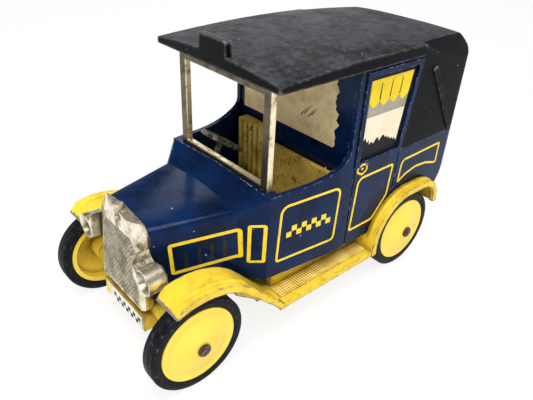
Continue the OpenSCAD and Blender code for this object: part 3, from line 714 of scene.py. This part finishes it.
def honeycomb(i, j):
    """A point of the radiator's face, with ribs that cross. The real ribs stand about 0.5 mm apart, and
    are drawn a little coarser so that they show."""
    v = field_low + (field_top - field_low) * i
    if v < field_corner:
        reach = field_foot_hw + (field_hw - field_foot_hw) * v / field_corner
    else:
        reach = field_hw + (field_top_hw - field_hw) * (v - field_corner) / (field_top - field_corner)
    u = reach * (2 * j - 1)
    one = abs(math.sin(math.pi * (u + rib_slope * v) / rib_pitch))
    two = abs(math.sin(math.pi * (u - rib_slope * v) / rib_pitch))
    edge = min(1, field_fade * i, field_fade * (1 - i), field_fade * j, field_fade * (1 - j))
    return on_face(u, v, -sunk + edge * (rib_base + rib_rise * one * two))


grille_plating = worn_plating("dull_nickel_plating", "#c9c3ab", "#ada690", "#877e63",
                              recess_reach=1.4, recess_share=1.0)
settle(patch("radiator_honeycomb", rows=170, columns=150, point=honeycomb), grille_plating,
       "car", "worn_plating")
boss_outline = [(boss_r * math.cos(a) + boss_pole, boss_h * math.sin(a))
                for a in (math.pi / 2 * i / boss_steps for i in range(boss_steps + 1))]
boss = turned("radiator_boss", boss_outline + [(boss_pole, boss_sunk), (boss_r, boss_sunk)], steps=32)
boss.data.transform(Matrix.Translation(on_face(boss_x, boss_v, 0)) @ Matrix.Rotation(-math.pi / 2, 4, "Z"))
settle(boss, plating, "car", "worn_plating")

# Roof and hood
# One black plastic moulding: the roof panel with its sign block, and the folded leather hood
# behind it with its irons. It is pressed onto the body's upper edge.


def satin_black_plastic():
    """Moulded black plastic: satin, rubbed grey on the edges, with pale specks, and paler on upward faces
    with dust and a painted sheen.
    """
    made, tree, shader, place = blank("satin_black_polystyrene", IOR=1.55, Specular_IOR_Level=0.05)
    rub = noise(tree, place, size=1.6, detail=6, roughness=0.7)
    near_edge = on_edges(tree, reach=0.9, given=(0.92, 0.4))
    worn = combine(tree, "MULTIPLY", near_edge, rub)
    wear = remap(tree, worn, (0.26, 0.5), (0, 0.8))
    clouds = noise(tree, place, size=7, detail=8, roughness=0.65)
    tint = ramp(tree, clouds, [(0.35, "#08090b"), (0.65, "#121316")])
    # Upward faces are paled in patches: dust, and a painted sheen as well.
    facing = add(tree, "SeparateXYZ", {0: add(tree, "NewGeometry").outputs["Normal"]}).outputs["Z"]
    level = remap(tree, facing, (0.6, 0.97), (0, 0.26))
    patches = noise(tree, place, size=15, detail=5, roughness=0.6)
    patchy = combine(tree, "ADD", patches, rub)
    dust_and_sheen_drifts = remap(tree, patchy, (0.86, 1.1))
    dust_and_sheen = combine(tree, "MULTIPLY", level, dust_and_sheen_drifts)
    dusted_and_sheened = cover(tree, dust_and_sheen, tint, "#676b76")
    greyed = cover(tree, wear, dusted_and_sheened, "#8f8d88")
    grit = specks(tree, place, clouds, pitch=3.6, given=(0.4, 0.7), most=0.1)
    colours = cover(tree, grit, greyed, "#8d8a82")
    rough = remap(tree, clouds, (0.3, 0.7), (0.32, 0.55))
    grain = noise(tree, place, size=0.8, detail=3)
    bump = add(tree, "Bump", {"Strength": 0.2, "Distance": 0.04 * mm, "Height": grain})
    link(tree, shader, {"Base Color": colours, "Roughness": rough, "Normal": bump})
    return made


settle(from_solid("roof", "roof_moulding", edge=0.4, angle=20), satin_black_plastic(),
       "car", "black_plastic", "roof")

# Window labels
# Printed paper glued into the rear door windows: a scalloped valance over a grey band and a cream
# pane. The paper is torn away at its foot, and the old glue behind it has gone black.
window_x = 17.9
window_edge = [(41.3, 51.2), (56.6, 51.2), (54.2, 33.4), (41.3, 33.4)]
paper_top, paper_low = 50.2, 36.6
valance_low, band_low = 45.6, 42.6
scallops, scallop_top, scallop_drop, scallop_steps = 4, valance_low + 0.2, 1.3, 24
pane_front, pane_rear, pane_slant, pane_h = 42.2, 55.5, 2.35, 15.9
tear_dip, tear_rise, tear_drift = 1.6, 1.2, 0.6
print_t, ink_t = 0.03, 0.01
glue_layer, paper_layer, band_layer, valance_layer, pleat_layer = 0.0, 0.06, 0.11, 0.14, 0.17
pleat_top, pleat_foot = paper_top - 0.8, valance_low + 0.3
pleat_edges = ((pleat_top, -0.12), (pleat_foot, -0.2), (pleat_foot, 0.2), (pleat_top, 0.12))


def sheet(name, outline, place, thickness=0.05):
    """A thin sheet with an outline of (u, v) points; place(u, v, lift) puts it on its surface."""
    shape = bmesh.new()
    fronts = [shape.verts.new(place(u, v, thickness)) for u, v in outline]
    backs = [shape.verts.new(place(u, v, 0)) for u, v in outline]
    shape.faces.new(fronts)
    shape.faces.new(backs[::-1])
    for i in range(len(outline)):
        j = (i + 1) % len(outline)
        shape.faces.new((fronts[i], backs[i], backs[j], fronts[j]))
    return built(name, shape)


def torn(start, end, steps, depth, seed):
    """Points from start to end along a torn edge: each bite keeps a share of the one before it."""
    rng = random.Random(seed)
    start, end = Vector(start), Vector(end)
    across = Vector((start.y - end.y, end.x - start.x)).normalized()
    bites = [0.0]
    for _ in range(steps - 1):
        bites.append(tear_drift * bites[-1] + rng.uniform(-depth, depth))
    return [tuple(start.lerp(end, i / steps) + across * bite) for i, bite in enumerate(bites)] + [tuple(end)]


def window_b(share, z):
    """Distance back at a share of the pane's width, between its upright and its slanting edge."""
    rear = pane_rear - pane_slant * (paper_top - z) / pane_h
    return pane_front + (rear - pane_front) * share


def label_paper(name, colour, aged):
    """Coated printing paper, yellowed: matt, with soft stains and faint fibres."""
    made, tree, shader, place = blank(name, IOR=1.48, Specular_IOR_Level=0.3)
    stain = noise(tree, place, size=4, detail=6, roughness=0.65)
    tint = ramp(tree, stain, [(0.3, aged), (0.55, colour)])
    fibre = noise(tree, place, size=0.4, detail=3)
    rough = remap(tree, fibre, (0, 1), (0.55, 0.8))
    bump = add(tree, "Bump", {"Strength": 0.2, "Distance": 0.02 * mm, "Height": fibre})
    link(tree, shader, {"Base Color": tint, "Roughness": rough, "Normal": bump})
    return made


cream = label_paper("cream_label_paper", "#f8ead0", "#e6d3ab")
grey_print = label_paper("grey_printed_paper", "#a9a494", "#8d887a")
yellow_print = label_paper("yellow_printed_paper", "#f6d526", "#e4bb1d")
old_glue = label_paper("blackened_glue", "#15161b", "#0d0d10")
scallop_line = [(i / scallop_steps,
                 scallop_top - scallop_drop * abs(math.sin(math.pi * scallops * i / scallop_steps)))
                for i in range(scallop_steps + 1)]
for side, word in sides:
    def on_layer(layer, side=side):
        """How a sheet is placed on this side's window, on a layer above the casting."""
        return lambda b, z, lift: at(side * (window_x + layer + lift), b, z)

    settle(sheet(word + "_window_glue", window_edge, on_layer(glue_layer)), old_glue, "car", "printed_paper")
    foot = torn((window_b(1, paper_low), paper_low - tear_dip),
                (window_b(0, paper_low), paper_low + tear_rise), steps=26, depth=0.8, seed=7)
    outline = [(window_b(0, paper_top), paper_top), (window_b(1, paper_top), paper_top)] + foot
    settle(sheet(word + "_window_paper", outline, on_layer(paper_layer)), cream,
           "car", "printed_paper", word + "_window_label")
    band = [(window_b(s, z), z)
            for s, z in ((0, band_low), (1, band_low), (1, valance_low), (0, valance_low))]
    settle(sheet(word + "_window_band", band, on_layer(band_layer), print_t), grey_print,
           "car", "printed_paper")
    valance = [(window_b(s, z), z) for s, z in scallop_line + [(1, paper_top), (0, paper_top)]]
    settle(sheet(word + "_window_valance", valance, on_layer(valance_layer), print_t), yellow_print,
           "car", "printed_paper")
    shape = bmesh.new()
    for i in range(1, scallops):
        corners = [(window_b(i / scallops, z) + d, z) for z, d in pleat_edges]
        shape.faces.new([shape.verts.new(on_layer(pleat_layer)(b, z, ink_t)) for b, z in corners])
    settle(built(word + "_valance_pleats", shape), old_glue, "car", "printed_paper")

# Partition label
# A sheet of buff paper glued to the partition behind the driver, torn along one edge.
# It bears a few plain pen strokes.
label_low, label_high = (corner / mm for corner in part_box("partition_label"))
buff = label_paper("buff_label_paper", "#efd9a8", "#d2b47e")
ragged = torn((label_high.x, label_low.z), (label_high.x - 0.3, label_high.z),
              steps=22, depth=0.7, seed=3)
buff_outline = [(label_low.x, label_high.z), (label_low.x, label_low.z)] + ragged
strokes = [(-9.6, 46.2, 3.4), (-8.4, 46.6, 3.0), (-7.1, 46.1, 3.6), (3.2, 39.3, 2.6), (4.2, 39.9, 3.2),
           (5.3, 39.5, 2.8), (6.3, 40.2, 2.4)]
stroke_lean, stroke_w, paper_t, stand_off = Vector((0.62, 0.78)), 0.14, 0.12, 0.02


def on_partition(x, z, lift):
    """A point on the partition's front, a little proud of it."""
    return Vector((x, label_high.y - stand_off - lift, z)) * mm


settle(sheet("partition_paper", buff_outline, on_partition, paper_t), buff,
       "car", "printed_paper", "partition_label")
shape = bmesh.new()
for x, z, length in strokes:
    foot, slant = Vector((x, z)), stroke_lean * length
    across = Vector((stroke_lean.y, -stroke_lean.x)) * stroke_w
    ends = [foot - across, foot + across, foot + slant + across / 3, foot + slant - across / 3]
    shape.faces.new([shape.verts.new(on_partition(p.x, p.y, paper_t + ink_t)) for p in ends])
settle(built("partition_strokes", shape), old_glue, "car", "printed_paper")

# Front plate
# A white enamelled strip on the beam under the radiator, its right end flaked away.
# It bears a plain black chequer.
plate_low, plate_high = (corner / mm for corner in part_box("front_plate"))
plate_check, plate_checks, plate_margin, plate_t = 0.95, 11, 0.6, 0.25
flake_top, flake_foot = plate_low.x + 1.5, plate_low.x + 2.1
white_enamel = label_paper("white_plate_enamel", "#f2f0e8", "#cfc8b4")
flaked = torn((flake_top, plate_high.z), (flake_foot, plate_low.z), steps=9, depth=0.35, seed=5)
plate_outline = flaked + [(plate_high.x, plate_low.z), (plate_high.x, plate_high.z)]


def on_plate(x, z, lift):
    """A point on the front beam, a little proud of it."""
    return Vector((x, plate_high.y - stand_off - lift, z)) * mm


settle(sheet("front_number_plate", plate_outline, on_plate, plate_t), white_enamel,
       "car", "printed_paper", "front_plate")
shape = bmesh.new()
middle_z = (plate_low.z + plate_high.z) / 2
for k in range(plate_checks):
    x, z = plate_high.x - plate_margin - plate_check * k, middle_z - plate_check * (k % 2)
    corners = ((x, z), (x - plate_check, z), (x - plate_check, z + plate_check), (x, z + plate_check))
    shape.faces.new([shape.verts.new(on_plate(u, v, plate_t + ink_t)) for u, v in corners])
settle(built("front_plate_chequer", shape), old_glue, "car", "printed_paper")

# Body rivets
# Two steel rivets through the chassis floor into the body's posts.
# They are set flush with the underside and hold body and chassis together.
settle(from_solid("body_rivets", "body_rivet_pair", edge=0.1), rust, "car", "rivet_steel", "body_rivets")

# Studio
# A white paper sweep under a dim ceiling, with a large soft lamp above and one behind.
# The floor keeps the car's shadow.
floor_r, floor_sides, floor_glow, room_light = 1.5, 64, 0.85, 0.55
wall_top, ceiling_low, ceiling_glow = 0.08, 0.4, 0.06
car_middle = (0, 0, 0.03)
floor_mesh = bpy.data.meshes.new("studio_floor")
ring = [(floor_r * math.cos(a), floor_r * math.sin(a), 0)
        for a in (2 * math.pi * i / floor_sides for i in range(floor_sides))]
floor_mesh.from_pydata(ring, [], [list(range(floor_sides))])
floor = bpy.data.objects.new("studio_floor", floor_mesh)
bpy.context.scene.collection.objects.link(floor)


def seen_directly(tree):
    """One for rays from the camera, from mirrors and through glass, and nought for soft light."""
    ray = add(tree, "LightPath").outputs
    seen = combine(tree, "ADD", ray["Is Camera Ray"], ray["Is Glossy Ray"])
    return combine(tree, "ADD", seen, ray["Is Transmission Ray"], clamp=True)


def white_sweep():
    """Matt white paper: white to the camera and to reflections, with a soft grey shadow."""
    made, tree, shader, place = blank("matt_white_paper")
    tree.nodes.remove(shader)
    grain = noise(tree, place, size=60, detail=2)
    tint = ramp(tree, grain, [(0.3, "#f6f6f6"), (0.7, "#f8f8f8")])
    paper = add(tree, "BsdfDiffuse", {"Color": tint})
    glow = add(tree, "Emission", {"Color": linear("#ffffff"), "Strength": 1.0})
    share = combine(tree, "MULTIPLY", seen_directly(tree), floor_glow)
    mixed = add(tree, "MixShader", {0: share, 1: paper, 2: glow})
    link(tree, tree.nodes["Material Output"], {"Surface": mixed})
    return made


floor_mesh.materials.append(white_sweep())
world = bpy.data.worlds.new("white_studio")
bpy.context.scene.world = world
world.use_nodes = True
sky = world.node_tree
height = add(sky, "SeparateXYZ", {0: add(sky, "TexCoord").outputs["Generated"]}).outputs["Z"]
ceiling = remap(sky, height, (wall_top, ceiling_low), (1, ceiling_glow), interpolation_type="SMOOTHSTEP")
level = add(sky, "Mix", {0: seen_directly(sky), 2: room_light, 3: ceiling})
link(sky, sky.nodes["Background"], {"Color": linear("#ffffff"), "Strength": level})


def soft_lamp(name, place, aim, size, power):
    """A square soft box that points from a place to an aim, in metres."""
    lamp = bpy.data.lights.new(name, "AREA")
    lamp.size = size
    lamp.energy = power
    holder = bpy.data.objects.new(name, lamp)
    holder.location = place
    holder.rotation_euler = (Vector(aim) - Vector(place)).to_track_quat("-Z", "Y").to_euler()
    bpy.context.scene.collection.objects.link(holder)


soft_lamp("soft_box_above", (0.14, -0.12, 0.42), car_middle, size=0.3, power=2.0)
soft_lamp("soft_box_behind", (-0.3, 0.27, 0.3), car_middle, size=0.26, power=0.32)

# Camera
# The photograph's viewpoint: close, from the car's front left, looking down, with a slight roll.
# Its place is given as for the pieces, in millimetres from the front axle and the ground.
view_turn, view_pitch, view_roll = math.radians(47.392), math.radians(31.627), math.radians(2.907)
view_x, view_b, view_z = 76.869, -37.603, 82.692
image_w, focal_px, sensor_w = 533, 529.043, 36
forward = Vector((-math.sin(view_turn) * math.cos(view_pitch), math.cos(view_turn) * math.cos(view_pitch),
                  -math.sin(view_pitch)))
level_right = Vector((math.cos(view_turn), math.sin(view_turn), 0))
level_up = level_right.cross(forward)
right = level_right * math.cos(view_roll) + level_up * math.sin(view_roll)
up = right.cross(forward)
camera_data = bpy.data.cameras.new("camera")
camera_data.sensor_fit = "HORIZONTAL"
camera_data.sensor_width = sensor_w
camera_data.lens = focal_px / image_w * sensor_w
camera_data.clip_start = 0.005
camera = bpy.data.objects.new("camera", camera_data)
aimed = Matrix((right, up, -forward)).transposed().to_4x4()
camera.matrix_world = Matrix.Translation(at(view_x, view_b, view_z)) @ aimed
bpy.context.scene.collection.objects.link(camera)
bpy.context.scene.camera = camera
bpy.context.scene.view_settings.view_transform = "Standard"

bpy.context.view_layer.update()
